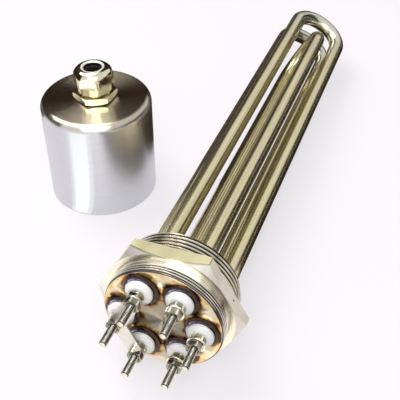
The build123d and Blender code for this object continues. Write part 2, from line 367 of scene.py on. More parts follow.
def weld_profile(terminal):
    """The bead's profile at each angle, for one terminal."""
    lean = random.Random(terminal).uniform(0, TAU)

    def profile_at(angle):
        wander = 0.10 * math.sin(3 * angle + lean) + 0.06 * math.sin(5 * angle - 2 * lean)
        points = [(5.02, 0), (weld_edge + wander - 0.02, 0)]
        for step in range(11):
            across = step / 10
            radius = weld_edge + wander - 0.05 - across * (weld_edge - 5.1)
            bow = math.sin(math.pi * min(0.12 + 0.80 * across, 1)) ** 0.6
            ripple = 0.05 * math.sin(ripples * angle + 5 * across * across) * math.sin(math.pi * across)
            points.append((radius, weld_crown * bow * (1 - 0.03 * across) + ripple))
        return [*points, points[0]]

    return profile_at


for number, angle in enumerate(terminal_angles, 1):
    bead = bmesh.new()
    turn(bead, weld_profile(number), weld_columns)
    keep(finish_piece(bead, f"weld_ring_{number}", terminal_place(angle), "heater_and_cover", ["weld_collars"]), "weld")
print("weld rings:", len(made["weld"]))

# %% [markdown]
# ## Bent tubes
#
# A hairpin is one tube bent back on itself. A ring of points is carried along the middle line:
# down one leg, round the bend and back up. Each point also remembers where it lay on the straight
# tube, so that the drawing marks in the steel can follow the bend as they do on a real tube.

# %% Hairpins
tube_radius = 5.0
tube_bore = 4.2
tube_stand = 1.8
tube_columns = 64
bend_steps = 56
hairpins = ((120, 0, 311.0), (60, 240, 286.0), (180, 300, 315.5))


def hairpin(shape, half_width, reach):
    """A tube along both legs and the bend, with its wall, and its unbent coordinates."""
    straight = reach - tube_radius - half_width
    stations = [(-half_width, z, 0, -z) for z in (tube_stand, tank_end, -60, -140, -220, -straight) if z > -straight]
    for step in range(bend_steps + 1):
        swing = math.pi * step / bend_steps
        centre = (-half_width * math.cos(swing), -straight - half_width * math.sin(swing))
        stations.append((*centre, swing, straight + half_width * swing))
    length = 2 * straight + math.pi * half_width
    stations += [(-x, z, math.pi, length - along) for x, z, _, along in reversed(stations[: -bend_steps - 1])]
    columns, unbent = [], []
    for index in range(tube_columns):
        turned = TAU * index / tube_columns
        column = []
        for radius, path in ((tube_radius, stations), (tube_bore, stations[::-1])):
            for x, z, swing, along in path:
                out = radius * math.cos(turned)
                column.append((x + out * math.cos(swing), radius * math.sin(turned), z + out * math.sin(swing)))
                unbent.append((out, radius * math.sin(turned), along))
        column.append(column[0])
        unbent.append((tube_radius * math.cos(turned), tube_radius * math.sin(turned), stations[0][3]))
        columns.append(column)
    skin(shape, columns)
    grain = shape.verts.layers.float_vector.new("unbent")
    for vert, place in zip(shape.verts, unbent):
        vert[grain] = Vector(place) * MM


for number, (first, second, reach) in enumerate(hairpins, 1):
    start, end = terminal_spot(first), terminal_spot(second)
    chord = end - start
    lean = Matrix.Rotation(math.atan2(chord.y, chord.x), 4, "Z")
    place = plug_place @ Matrix.Translation((*(start + end) / 2 * MM, 0)) @ lean
    tube = bmesh.new()
    hairpin(tube, chord.length / 2, reach)
    keep(finish_piece(tube, f"bent_tube_{number}", place, "heater_and_cover", [f"element_sheath_{number}"]), "tube")
print("bent tubes:", len(made["tube"]))

# %% [markdown]
# ## Terminals
#
# On each tube end sits a glazed ceramic bead, and through it comes a threaded stud that is one
# piece with the cold pin below. The nuts are real hexagon nuts: chamfered on both sides and
# countersunk at the hole, and each one stopped at its own angle, as a spanner leaves it.

# %% Studs, ceramics and nuts
stud_radius = 2.0
stud_tip = 23.0
stud_thread_start = 3.9
pin_radius = 1.2
pin_end = -55.0
ceramic_seat = 1.8
ceramic_top = 4.8
nut_flats = 7.0
nut_height = 3.2
inner_nut_top = ceramic_top + nut_height
washer_height = 0.8
bridge_height = 1.0
bridged = (120, 180, 240)
nut_twists = {120: 14, 60: 37, 0: 52, 300: 8, 240: 25, 180: 44}


def stud(shape):
    shank = [(0, pin_end), (pin_radius, pin_end), (pin_radius, -1.2), (stud_radius, -1.2), (stud_radius, stud_thread_start)]
    turn(shape, shank, 24)
    turn(shape, threaded(stud_thread_start, stud_tip, stud_radius, 0.43, 0.7, stud_radius, 1.45, 1.0, 6), 24, 6)
    turn(shape, [(1.45, stud_tip), (0, stud_tip)], 24)


def ceramic(shape):
    spigot = [(2.08, -1.2), (4.1, -1.2, 0.2), (4.1, ceramic_seat), (6.68, ceramic_seat, 0.3), (6.68, 3.35, 0.55)]
    turn(shape, ring([*spigot, (4.75, ceramic_top, 0.7), (2.08, ceramic_top, 0.3)], 5), 72)


def nut(shape, seat, flats, height, hole, chamfer):
    """A hexagon nut with its seat at a height. chamfer is how deep its corners are turned off."""
    corner = flats / 2 / math.cos(TAU / 12)
    face = corner - chamfer / corner_slope
    top = seat + height
    half = [(hole, seat + 0.08 * flats), (hole + 0.08 * flats, seat), (face, seat), (corner, seat + chamfer)]
    back = [(corner, top - chamfer), (face, top), (hole + 0.08 * flats, top), (hole, top - 0.08 * flats)]
    turn(shape, milled([*half, *back, half[0]], 3, flats), 96)


for number, angle in enumerate(terminal_angles, 1):
    place = terminal_place(angle)
    threaded_stud = bmesh.new()
    stud(threaded_stud)
    keep(finish_piece(threaded_stud, f"stud_{number}", place, "heater_and_cover", [f"terminal_pin_{number}"]), "stud")
    bead = bmesh.new()
    ceramic(bead)
    keep(finish_piece(bead, f"ceramic_{number}", place, "heater_and_cover", [f"ceramic_bead_{number}"]), "ceramic")
    inner = bmesh.new()
    nut(inner, ceramic_top, nut_flats, nut_height, 2.05, 0.35)
    place = terminal_place(angle, nut_twists[angle])
    keep(finish_piece(inner, f"inner_nut_{number}", place, "heater_and_cover", ["inner_nuts"]), "nut")
    seat = inner_nut_top + (bridge_height if angle in bridged else washer_height)
    outer = bmesh.new()
    nut(outer, seat, nut_flats, nut_height, 2.05, 0.35)
    place = terminal_place(angle, nut_twists[angle] + 23)
    keep(finish_piece(outer, f"outer_nut_{number}", place, "heater_and_cover", ["outer_nuts"]), "nut")
    if angle not in bridged:
        washer = bmesh.new()
        turn(washer, ring([(2.15, 8.0), (4.5, 8.0), (4.5, 8.8, 0.2), (2.15, 8.8, 0.1)]), 72)
        keep(finish_piece(washer, f"washer_{number}", place, "heater_and_cover", ["flat_washers"]), "nut")
print("studs:", len(made["stud"]), "nuts and washers:", len(made["nut"]))

# %% [markdown]
# ## The bridge plate
#
# Three of the six terminals are joined by a V of flat plate. It is punched from strip, so its
# outline is two straight arms with round ends, and its edges are square but not sharp. The
# outline is drawn as arcs round the three studs, and the same flat fill as for the plug leaves
# the holes open.

# %% Bridge
bridge_half = 3.75
bridge_hole = 2.15


def arc(centre, radius, begin, end, steps):
    """Points on an arc, from one angle to another in degrees."""
    turned = [math.radians(begin + (end - begin) * step / steps) for step in range(steps + 1)]
    return [centre + Vector((math.cos(t), math.sin(t))) * radius for t in turned]


corner, upper, lower = (terminal_spot(angle) for angle in (180, 120, 240))
arm = (upper - corner).normalized()
inner_corner = corner + Vector((bridge_half / arm.y, 0))
outline = arc(upper, bridge_half, -30, 150, 24) + arc(corner, bridge_half, 150, 210, 10)
outline += arc(lower, bridge_half, 210, 390, 24)
outline += arc(inner_corner + Vector((2.4, 0)), 1.2, 210, 150, 8)
bridge = bmesh.new()
loops = [outline] + [arc(centre, bridge_hole, 0, 360, 32)[:-1] for centre in (corner, upper, lower)]
points, edges = [], []
for loop in loops:
    first = len(points)
    points += loop
    edges += [(first + index, first + (index + 1) % len(loop)) for index in range(len(loop))]
    skin(bridge, [[(*point, inner_nut_top), (*point, inner_nut_top + bridge_height)] for point in loop])
flat, _, faces, *_ = delaunay_2d_cdt(points, edges, [], 2, 1e-7)
for height in (inner_nut_top, inner_nut_top + bridge_height):
    corners = [bridge.verts.new((p.x * MM, p.y * MM, height * MM)) for p in flat]
    for face in faces:
        bridge.faces.new([corners[index] for index in face])
keep(finish_piece(bridge, "bridge_plate", plug_place, "heater_and_cover", ["star_bridge"], 0.12), "bridge")

# %% [markdown]
# ## The cover
#
# The cover is a deep cup turned from one piece. Its mouth has the inside thread that fits the
# plug, and its top edge a broad rounding. Outside it is polished; on top the turning tool has
# left fine circles, which make the light spread into two bright and two dark fans.

# %% Cover
cover_columns = 192
cover_radius = 32.0
cover_height = 63.1
cover_rounding = 4.4
cover_bore = 29.2
cover_mouth = mounts["cover_mouth"]["dims"]["r_mm"]
cover_mouth_length = mounts["cover_mouth"]["dims"]["length_mm"]
roof = cover_height - 2.0
gland_hole = 9.4

cup = bmesh.new()
mouth = threaded(0, cover_mouth_length, cover_mouth, 0.8, 1.5, cover_mouth, cover_bore)
turn(cup, mouth, cover_columns, rows_per_pitch)
wall = [(cover_bore, cover_mouth_length), (cover_bore, roof, 1.6), (gland_hole, roof), (gland_hole, cover_height)]
wall += [(cover_radius, cover_height, cover_rounding), (cover_radius, 0, 0.3), (cover_mouth, 0)]
turn(cup, rounded(wall, 12), cover_columns)
keep(finish_piece(cup, "cover_cup", cover_place, "heater_and_cover", ["terminal_cover"]), "cover")
print("cover faces:", len(made["cover"][0].data.polygons))

# %% [markdown]
# ## The gland
#
# A gland is a hollow screw through the cover, with a thin rubber ring under its hexagon and a
# nut that draws down over a rubber bush to grip a cord. Body, dome nut and inside nut are turned
# and milled like the plug. The dome nut climbs on the body's thread, so it is its own piece.

# %% Gland
gland_flats = 22.0
dome_flats = 21.0
gland_columns = 120
body_twist = 29.0
dome_twist = 7.6
gland_pitch = 1.5


def gland_screw(shape):
    turn(shape, threaded(-8, 0.8, 9.3, 0.75, gland_pitch, 8.6, 9.3), gland_columns, rows_per_pitch)
    corner = gland_flats / 2 / math.cos(TAU / 12)
    hexagon = [(9.3, 0.8), (11.1, 0.8), (corner, 1.7), (corner, 4.0), (11.3, 4.8), (8.3, 4.8)]
    turn(shape, milled(hexagon, 2, gland_flats), gland_columns)
    turn(shape, threaded(4.8, 12, 8.8, 0.7, gland_pitch, 8.3, 8.1), gland_columns, rows_per_pitch)
    turn(shape, [(8.1, 12), (7.5, 12), (7.3, 11.7), (7.3, 3.4), (5.75, 3.4), (5.75, -8), (8.6, -8)], gland_columns)


def dome(shape):
    side = [(9.0, 5.9), (9.8, 5.9), (10.0, 6.1), (10.0, 10.6), (11.2, 10.6), (11.6, 11.0)]
    crown = [(5.816 + 5.784 * math.cos(swing / 15 * 1.4), 14 + 5.784 * math.sin(swing / 15 * 1.4)) for swing in range(16)]
    crown += [(6.5, 19.7), (5.9, 19.7), (5.5, 19.6), (5.2, 19.35), (5.1, 19.0), (5.1, 17.7), (6.0, 17.7), (8.2, 15.2)]
    turn(shape, milled([*side, *crown], len(side) - 1, dome_flats), gland_columns)
    start = 4.8 - (body_twist - dome_twist) / 360 * gland_pitch
    turn(shape, threaded(5.9, 15.2, 8.85, 0.65, gland_pitch, 9.0, 8.2, origin=start), gland_columns, rows_per_pitch)


for name, draw, twist, node, body in (
    ("gland_screw", gland_screw, body_twist, "gland_body", "heater_and_cover"),
    ("dome_nut", dome, dome_twist, "gland_dome_nut", "dome_nut"),
):
    shape = bmesh.new()
    draw(shape)
    place = deck_place @ Matrix.Rotation(math.radians(twist), 4, "Z")
    keep(finish_piece(shape, name, place, body, [node]), "gland")
inside_nut = bmesh.new()
nut(inside_nut, -5, gland_flats, 3, 9.4, 0.6)
keep(finish_piece(inside_nut, "inside_nut", deck_place, "heater_and_cover", ["gland_locknut"]), "gland")
gasket = bmesh.new()
turn(gasket, ring([(9.4, 0), (10.9, 0, 0.25), (10.9, 0.8, 0.25), (9.4, 0.8)]), 96)
keep(finish_piece(gasket, "rubber_ring", deck_place, "heater_and_cover", ["gland_gasket"]), "rubber")
bush = bmesh.new()
turn(bush, ring([(4.7, 8.4, 0.4), (5.95, 8.4, 0.2), (5.95, 17.4, 0.3), (4.7, 17.4, 0.8)], 5), 96)
keep(finish_piece(bush, "rubber_bush", deck_place, "gland_clamp", ["gland_seal"]), "rubber")
print("gland pieces:", len(made["gland"]) + len(made["rubber"]))

# %% [markdown]
# ## Finishes: the tools for them
#
# Each finish is a node material, worked out from where a point lies on its piece, so it holds
# from every side. Marks that several finishes share are node groups: lines from turning, lines
# from drawing, heat colours, painted shade in thread roots, and smudges. Each is built once, with named inputs.

# %% Node helpers
def add(tree, kind, inputs=None, **settings):
    """Adds a node, with its settings and its inputs, each a value or another node's output."""
    node = tree.nodes.new("ShaderNode" + kind)
    for name, value in settings.items():
        setattr(node, name, value)
    for name, value in (inputs or {}).items():
        if isinstance(value, bpy.types.NodeSocket):
            tree.links.new(value, node.inputs[name])
        else:
            node.inputs[name].default_value = value
    return node


def sum_of(tree, operation, first, second=0.0, third=0.0):
    """One sum on two or three numbers."""
    return add(tree, "Math", {0: first, 1: second, 2: third}, operation=operation).outputs[0]


def rising(tree, value, low, high):
    """0 below low, 1 above high, and a soft step between."""
    step = {"Value": value, "From Min": low, "From Max": high}
    return add(tree, "MapRange", step, interpolation_type="SMOOTHSTEP").outputs["Result"]


def blend(tree, factor, first, second, kind="MIX"):
    """Two colours mixed by a factor."""
    node = add(tree, "Mix", data_type="RGBA", blend_type=kind)
    for index, value in ((0, factor), (6, first), (7, second)):
        if isinstance(value, bpy.types.NodeSocket):
            tree.links.new(value, node.inputs[index])
        else:
            node.inputs[index].default_value = value
    return node.outputs[2]


def from_axis(tree, place):
    """How far a point lies from its piece's axis."""
    flat = add(tree, "VectorMath", {0: place, 1: (1, 1, 0)}, operation="MULTIPLY")
    return add(tree, "VectorMath", {0: flat.outputs[0]}, operation="LENGTH").outputs["Value"]


def effect(name, inputs, outputs):
    """An empty node group with named inputs and outputs."""
    tree = bpy.data.node_groups.new(name, "ShaderNodeTree")
    for label, kind, value in inputs:
        socket = tree.interface.new_socket(label, in_out="INPUT", socket_type="NodeSocket" + kind)
        socket.default_value = value
    for label, kind in outputs:
        tree.interface.new_socket(label, in_out="OUTPUT", socket_type="NodeSocket" + kind)
    return tree, tree.nodes.new("NodeGroupInput"), tree.nodes.new("NodeGroupOutput")


def use(tree, group, inputs):
    """Places a node group in a material."""
    node = tree.nodes.new("ShaderNodeGroup")
    node.node_tree = group
    for name, value in inputs.items():
        if isinstance(value, bpy.types.NodeSocket):
            tree.links.new(value, node.inputs[name])
        else:
            node.inputs[name].default_value = value
    return node.outputs


# %% [markdown]
# ## Marks of turning and drawing
#
# A lathe leaves fine circles, so its noise is stretched all the way round the axis: the noise
# sees the radius and the height at full scale, and the direction hardly at all. A drawn tube has
# fine lines along it, and there the noise sees the tube's unbent coordinates.

# %% Turned and drawn marks
turned_marks, given, out = effect(
    "turned marks", [("Position", "Vector", (0, 0, 0)), ("Spacing", "Float", 0.0006)], [("Marks", "Float")]
)
parts = add(turned_marks, "SeparateXYZ", {0: given.outputs["Position"]})
flat = add(turned_marks, "CombineXYZ", {"X": parts.outputs["X"], "Y": parts.outputs["Y"]})
radius = add(turned_marks, "VectorMath", {0: flat.outputs[0]}, operation="LENGTH").outputs["Value"]
around = add(turned_marks, "VectorMath", {0: flat.outputs[0]}, operation="NORMALIZE")
ways = add(turned_marks, "SeparateXYZ", {0: around.outputs["Vector"]})
fine_radius = sum_of(turned_marks, "DIVIDE", radius, given.outputs["Spacing"])
fine_height = sum_of(turned_marks, "DIVIDE", parts.outputs["Z"], given.outputs["Spacing"])
spot = add(turned_marks, "CombineXYZ", {"X": ways.outputs["X"], "Y": ways.outputs["Y"], "Z": fine_radius})
noise = add(turned_marks, "TexNoise", {"Vector": spot.outputs[0], "W": fine_height, "Scale": 1.0}, noise_dimensions="4D")
noise.inputs["Detail"].default_value = 2.0
turned_marks.links.new(noise.outputs[0], out.inputs["Marks"])

drawn_marks, given, out = effect(
    "drawn marks", [("Position", "Vector", (0, 0, 0)), ("Spacing", "Float", 0.0006)], [("Marks", "Float")]
)
stretched = add(drawn_marks, "VectorMath", {0: given.outputs["Position"], 1: (1, 1, 0.02)}, operation="MULTIPLY")
finer = sum_of(drawn_marks, "DIVIDE", 1.0, given.outputs["Spacing"])
scaled = add(drawn_marks, "VectorMath", {0: stretched.outputs[0], "Scale": finer}, operation="SCALE")
noise = add(drawn_marks, "TexNoise", {"Vector": scaled.outputs[0], "Scale": 1.0, "Detail": 3.0})
drawn_marks.links.new(noise.outputs[0], out.inputs["Marks"])

smudges, given, out = effect(
    "smudges", [("Position", "Vector", (0, 0, 0)), ("Size", "Float", 0.01)], [("Amount", "Float")]
)
finer = sum_of(smudges, "DIVIDE", 1.0, given.outputs["Size"])
scaled = add(smudges, "VectorMath", {0: given.outputs["Position"], "Scale": finer}, operation="SCALE")
noise = add(smudges, "TexNoise", {"Vector": scaled.outputs[0], "Scale": 1.0, "Detail": 3.0})
smudges.links.new(rising(smudges, noise.outputs[0], 0.38, 0.66), out.inputs["Amount"])

# %% [markdown]
# ## Painted shade in the threads
#
# The roots of a thread are painted dark: painted shade in its hollows, so that they read as dark
# lines. The group compares a point's radius with the crest's, between two heights.

# %% Thread roots, painted shade
thread_root_shade, given, out = effect(
    "thread root shade",
    [("Position", "Vector", (0, 0, 0)), ("Crest", "Float", 0.03), ("Depth", "Float", 0.001)]
    + [("Lowest", "Float", -0.01), ("Highest", "Float", 0.0)],
    [("Root Shade", "Float")],
)
parts = add(thread_root_shade, "SeparateXYZ", {0: given.outputs["Position"]})
below = sum_of(thread_root_shade, "SUBTRACT", given.outputs["Crest"], from_axis(thread_root_shade, given.outputs["Position"]))
sunk = sum_of(thread_root_shade, "DIVIDE", below, given.outputs["Depth"])
inside = sum_of(thread_root_shade, "GREATER_THAN", parts.outputs["Z"], given.outputs["Lowest"])
under = sum_of(thread_root_shade, "LESS_THAN", parts.outputs["Z"], given.outputs["Highest"])
range_mask = sum_of(thread_root_shade, "MULTIPLY", inside, under)
deep = rising(thread_root_shade, sunk, 0.08, 0.5)
near = sum_of(thread_root_shade, "LESS_THAN", sunk, 1.3)
masked = sum_of(thread_root_shade, "MULTIPLY", sum_of(thread_root_shade, "MULTIPLY", deep, near), range_mask)
thread_root_shade.links.new(masked, out.inputs["Root Shade"])

# %% [markdown]
# ## Heat colours
#
# Welding leaves rings of colour on stainless steel: straw at first, then brown, purple and blue
# where it was hottest. Six welds sit on one circle, so the direction of a point is folded into
# one sixth of a turn, and its distance from that one weld gives the colour. The thin rim of the
# plug stayed hot longer, so the colour also gathers there.

# %% Heat colours on the plug's face
heat_colours, given, out = effect(
    "heat colours",
    [("Position", "Vector", (0, 0, 0)), ("Circle", "Float", 0.0196), ("Clean", "Color", (0.7, 0.66, 0.58, 1))],
    [("Color", "Color"), ("Heat", "Float")],
)
parts = add(heat_colours, "SeparateXYZ", {0: given.outputs["Position"]})
radius = from_axis(heat_colours, given.outputs["Position"])
direction = sum_of(heat_colours, "ARCTAN2", parts.outputs["Y"], parts.outputs["X"])
folded = sum_of(heat_colours, "PINGPONG", direction, TAU / 12)
along = sum_of(heat_colours, "MULTIPLY", radius, sum_of(heat_colours, "COSINE", folded))
across = sum_of(heat_colours, "MULTIPLY", radius, sum_of(heat_colours, "SINE", folded))
off = add(heat_colours, "CombineXYZ", {"X": sum_of(heat_colours, "SUBTRACT", along, given.outputs["Circle"]), "Y": across})
away = add(heat_colours, "VectorMath", {0: off.outputs[0]}, operation="LENGTH").outputs["Value"]
patches = add(heat_colours, "TexNoise", {"Vector": given.outputs["Position"], "Scale": 170.0, "Detail": 3.0})
wander = sum_of(heat_colours, "MULTIPLY_ADD", patches.outputs[0], 0.010, -0.0050)
reached = sum_of(heat_colours, "ADD", away, wander)
halo = sum_of(heat_colours, "SUBTRACT", 1.0, rising(heat_colours, reached, 0.0080, 0.0124))
rim = rising(heat_colours, sum_of(heat_colours, "ADD", radius, wander), 0.0262, 0.0298)
heat = sum_of(heat_colours, "MAXIMUM", halo, sum_of(heat_colours, "MULTIPLY", rim, 0.55))
ramp = add(heat_colours, "ValToRGB", {"Fac": heat})
stops = [(0.0, (1.0, 0.97, 0.90)), (0.2, (1.0, 0.93, 0.76)), (0.45, (0.97, 0.74, 0.40)), (0.68, (0.70, 0.40, 0.14))]
stops += [(0.86, (0.26, 0.14, 0.06)), (1.0, (0.07, 0.05, 0.04))]
for index, (place, colour) in enumerate(stops):
    stop = ramp.color_ramp.elements[index] if index < 2 else ramp.color_ramp.elements.new(place)
    stop.position = place
    stop.color = (*colour, 1)
tinted = blend(heat_colours, 1.0, given.outputs["Clean"], ramp.outputs["Color"], "MULTIPLY")
heat_colours.links.new(tinted, out.inputs["Color"])
heat_colours.links.new(heat, out.inputs["Heat"])
print("node groups:", len(bpy.data.node_groups))

# %% [markdown]
# ## The metals
#
# Every metal starts the same way: a Principled shader that is fully metallic, with its streaks
# in the colour, the roughness and a very shallow bump. What differs is the colour, the marks and
# how strongly they stretch reflections, so one function lays the base.

# %% A metal's base
def metal(name, rough, anisotropic=0.0):
    """A material with a metallic shader. Gives the tree, the shader and the piece's coordinates."""
    material = bpy.data.materials.new(name)
    material.use_nodes = True
    tree = material.node_tree
    shader = tree.nodes["Principled BSDF"]
    shader.inputs["Metallic"].default_value = 1.0
    shader.inputs["Roughness"].default_value = rough
    shader.inputs["Anisotropic"].default_value = anisotropic
    shader.inputs["Anisotropic Rotation"].default_value = 0.25
    if anisotropic:
        tangent = add(tree, "Tangent", direction_type="RADIAL", axis="Z")
        tree.links.new(tangent.outputs[0], shader.inputs["Tangent"])
    place = add(tree, "TexCoord").outputs["Object"]
    return material, tree, shader, place


def lay(tree, shader, colour, marks, rough=(0.2, 0.4), depth=0.00002, strength=0.3, rougher=0.0):
    """Connects a colour, streaks to the roughness, and streaks to a shallow bump."""
    tree.links.new(colour, shader.inputs["Base Color"])
    spread = {"Value": marks, "From Min": 0.3, "From Max": 0.7, "To Min": rough[0], "To Max": rough[1]}
    roughness = add(tree, "MapRange", spread).outputs["Result"]
    tree.links.new(sum_of(tree, "ADD", roughness, rougher), shader.inputs["Roughness"])
    bump = add(tree, "Bump", {"Height": marks, "Distance": depth, "Strength": strength})
    tree.links.new(bump.outputs[0], shader.inputs["Normal"])


def streaked(tree, marks, light, dark):
    """A colour that wavers between two with the streaks."""
    return blend(tree, rising(tree, marks, 0.3, 0.7), (*dark, 1), (*light, 1))


# %% Plug, tubes and welds
plug_steel, tree, shader, place = metal("plug_steel_turned", 0.3, 0.75)
turned = use(tree, turned_marks, {"Position": place, "Spacing": 0.0007})["Marks"]
milled_grain = add(tree, "VectorMath", {0: place, 1: (0.05, 0.05, 1)}, operation="MULTIPLY").outputs["Vector"]
ground = use(tree, drawn_marks, {"Position": milled_grain, "Spacing": 0.0006})["Marks"]
parts = add(tree, "SeparateXYZ", {0: place})
height = parts.outputs["Z"]
past_front = sum_of(tree, "LESS_THAN", height, (hex_front - 0.05) * MM)
before_back = sum_of(tree, "GREATER_THAN", height, (hex_back + 0.05) * MM)
on_hexagon = sum_of(tree, "MULTIPLY", past_front, before_back)
marks = add(tree, "Mix", {0: on_hexagon, 2: turned, 3: ground}).outputs[0]
turned_colour = streaked(tree, marks, (0.90, 0.86, 0.75), (0.84, 0.79, 0.67))
milled_colour = streaked(tree, marks, (0.84, 0.80, 0.73), (0.70, 0.66, 0.58))
# The flat that faces up is painted a darker straw colour than the other flats: painted shade.
upward_flat_painted_shade = streaked(tree, marks, (0.45, 0.415, 0.265), (0.37, 0.34, 0.21))
on_top_flat = rising(tree, parts.outputs["Y"], (hex_flats / 2 - 1.0) * MM, (hex_flats / 2 - 0.3) * MM)
milled_colour = blend(tree, on_top_flat, milled_colour, upward_flat_painted_shade)
clean = blend(tree, on_hexagon, turned_colour, milled_colour)
pit_centres = add(tree, "TexVoronoi", {"Vector": place, "Scale": 150.0}).outputs["Distance"]
pitted = sum_of(tree, "MULTIPLY", sum_of(tree, "LESS_THAN", pit_centres, 0.085), on_hexagon)
clean = blend(tree, pitted, clean, (0.05, 0.04, 0.02, 1))
# Both threads get painted shade in their roots.
front = {"Position": place, "Crest": cover_crest * MM, "Depth": 0.0008}
front |= {"Lowest": cover_thread_end * MM, "Highest": -0.0001}
rear = {"Position": place, "Crest": tank_crest * MM, "Depth": 0.00145}
rear |= {"Lowest": tank_end * MM, "Highest": relief_end * MM}
root_shade = sum_of(tree, "MAXIMUM", use(tree, thread_root_shade, front)["Root Shade"], use(tree, thread_root_shade, rear)["Root Shade"])
colour = blend(tree, sum_of(tree, "MULTIPLY", root_shade, 0.92), clean, (0.06, 0.05, 0.035, 1))
lay(tree, shader, colour, marks, (0.23, 0.245), 0.000002, 0.1, sum_of(tree, "MULTIPLY", on_hexagon, 0.1))

plug_face, tree, shader, place = metal("plug_face_tinted", 0.36)
turned = use(tree, turned_marks, {"Position": place, "Spacing": 0.0007})["Marks"]
bare = streaked(tree, turned, (0.90, 0.84, 0.74), (0.80, 0.73, 0.62))
tinted = use(tree, heat_colours, {"Position": place, "Circle": terminal_radius * MM, "Clean": bare})
lay(tree, shader, tinted["Color"], turned, (0.32, 0.40), 0.00001, 0.1)

tube_steel, tree, shader, place = metal("tube_steel_drawn", 0.25)
unbent = add(tree, "Attribute", attribute_name="unbent").outputs["Vector"]
marks = use(tree, drawn_marks, {"Position": unbent, "Spacing": 0.0009})["Marks"]
olive = streaked(tree, marks, (0.85, 0.78, 0.48), (0.73, 0.67, 0.40))
rose = streaked(tree, marks, (0.84, 0.74, 0.52), (0.72, 0.63, 0.43))
patches = use(tree, smudges, {"Position": unbent, "Size": 0.03})["Amount"]
silver = streaked(tree, marks, (0.78, 0.77, 0.66), (0.68, 0.67, 0.56))
height = add(tree, "SeparateXYZ", {0: place}).outputs["Z"]
at_bend = rising(tree, sum_of(tree, "MULTIPLY", height, -1.0), 0.262, 0.305)
colour = blend(tree, at_bend, blend(tree, patches, olive, rose), silver)
lay(tree, shader, colour, marks, (0.235, 0.25), 0.000002, 0.1)

weld_bead, tree, shader, place = metal("weld_bead_tinted", 0.2)
patches = add(tree, "TexNoise", {"Vector": place, "Scale": 220.0, "Detail": 2.0})
wander = sum_of(tree, "MULTIPLY_ADD", patches.outputs[0], 0.003, -0.0015)
wandering = sum_of(tree, "ADD", from_axis(tree, place), wander)
ramp = add(tree, "ValToRGB", {"Fac": rising(tree, wandering, 0.0050, 0.0092)})
stops = [(0.0, (0.50, 0.53, 0.66)), (0.46, (0.42, 0.43, 0.58)), (0.56, (0.20, 0.18, 0.30)), (0.66, (0.06, 0.045, 0.06))]
stops += [(0.85, (0.05, 0.035, 0.03)), (1.0, (0.16, 0.10, 0.06))]
for index, (stop_place, stop_colour) in enumerate(stops):
    stop = ramp.color_ramp.elements[index] if index < 2 else ramp.color_ramp.elements.new(stop_place)
    stop.position = stop_place
    stop.color = (*stop_colour, 1)
# Each bead is painted dark on the side turned away from the light: painted shade, which leaves the lilac heat colour
# only on the lit side, where it also serves as a painted glint.
toward_light = add(tree, "VectorMath", {0: place, 1: (-0.8, 0.6, 0)}, operation="DOT_PRODUCT").outputs["Value"]
shaded_side = sum_of(tree, "SUBTRACT", 1.0, rising(tree, sum_of(tree, "ADD", toward_light, wander), -0.0015, 0.0030))
colour = blend(tree, shaded_side, ramp.outputs["Color"], (0.075, 0.05, 0.035, 1))
lay(tree, shader, colour, patches.outputs[0], (0.2, 0.34))

# %% Terminals
nickel, tree, shader, place = metal("nickel_nuts", 0.22)
patches = use(tree, smudges, {"Position": place, "Size": 0.0025})["Amount"]
# The corners of the nuts and the outer edges of the washers get a painted highlight; the rest is painted dark in
# patches, as painted shade.
painted_corner_highlight = rising(tree, from_axis(tree, place), 0.00362, 0.00392)
painted_shade_flats = blend(tree, patches, (0.36, 0.34, 0.26, 1), (0.17, 0.16, 0.12, 1))
lay(tree, shader, blend(tree, painted_corner_highlight, painted_shade_flats, (0.90, 0.88, 0.78, 1)), patches, (0.1, 0.18), 0.00001, 0.1)

stud_steel, tree, shader, place = metal("stud_steel_rolled", 0.25)
patches = use(tree, smudges, {"Position": place, "Size": 0.003})["Amount"]
colour = blend(tree, patches, (0.72, 0.70, 0.63, 1), (0.54, 0.52, 0.45, 1))
# The rolled thread gets painted shade in its roots.
rolled = {"Position": place, "Crest": stud_radius * MM, "Depth": 0.00043}
rolled |= {"Lowest": stud_thread_start * MM, "Highest": stud_tip * MM}
root_shade = use(tree, thread_root_shade, rolled)["Root Shade"]
colour = blend(tree, sum_of(tree, "MULTIPLY", root_shade, 0.8), colour, (0.05, 0.045, 0.035, 1))
lay(tree, shader, colour, patches, (0.16, 0.24), 0.00001, 0.1)

bridge_metal, tree, shader, place = metal("bridge_plate_sheet", 0.3)
marks = use(tree, drawn_marks, {"Position": place, "Spacing": 0.0006})["Marks"]
lay(tree, shader, streaked(tree, marks, (0.72, 0.72, 0.71), (0.60, 0.60, 0.59)), marks, (0.28, 0.4))

white_ceramic, tree, shader, place = metal("ceramic_glazed", 0.2)
shader.inputs["Metallic"].default_value = 0.0
shader.inputs["Coat Weight"].default_value = 0.6
shader.inputs["Coat Roughness"].default_value = 0.08
patches = use(tree, smudges, {"Position": place, "Size": 0.004})["Amount"]
colour = blend(tree, patches, (0.96, 0.96, 0.94, 1), (0.91, 0.91, 0.88, 1))
lay(tree, shader, colour, patches, (0.2, 0.32), 0.00003, 0.3)

# %% Cover, gland and rubber
cover_steel, tree, shader, place = metal("cover_steel_polished", 0.24, 0.94)
marks = use(tree, turned_marks, {"Position": place, "Spacing": 0.0008})["Marks"]
height = add(tree, "SeparateXYZ", {0: place}).outputs["Z"]
# The top face is painted a warmer tint than the side: painted reflection colour.
side_colour = streaked(tree, marks, (0.68, 0.69, 0.72), (0.65, 0.66, 0.69))
top_colour = streaked(tree, marks, (0.70, 0.64, 0.51), (0.65, 0.59, 0.46))
on_top = rising(tree, height, (cover_height - cover_rounding) * MM, (cover_height - 0.1) * MM)
lay(tree, shader, blend(tree, on_top, side_colour, top_colour), marks, (0.23, 0.235), 0.000001, 0.05)

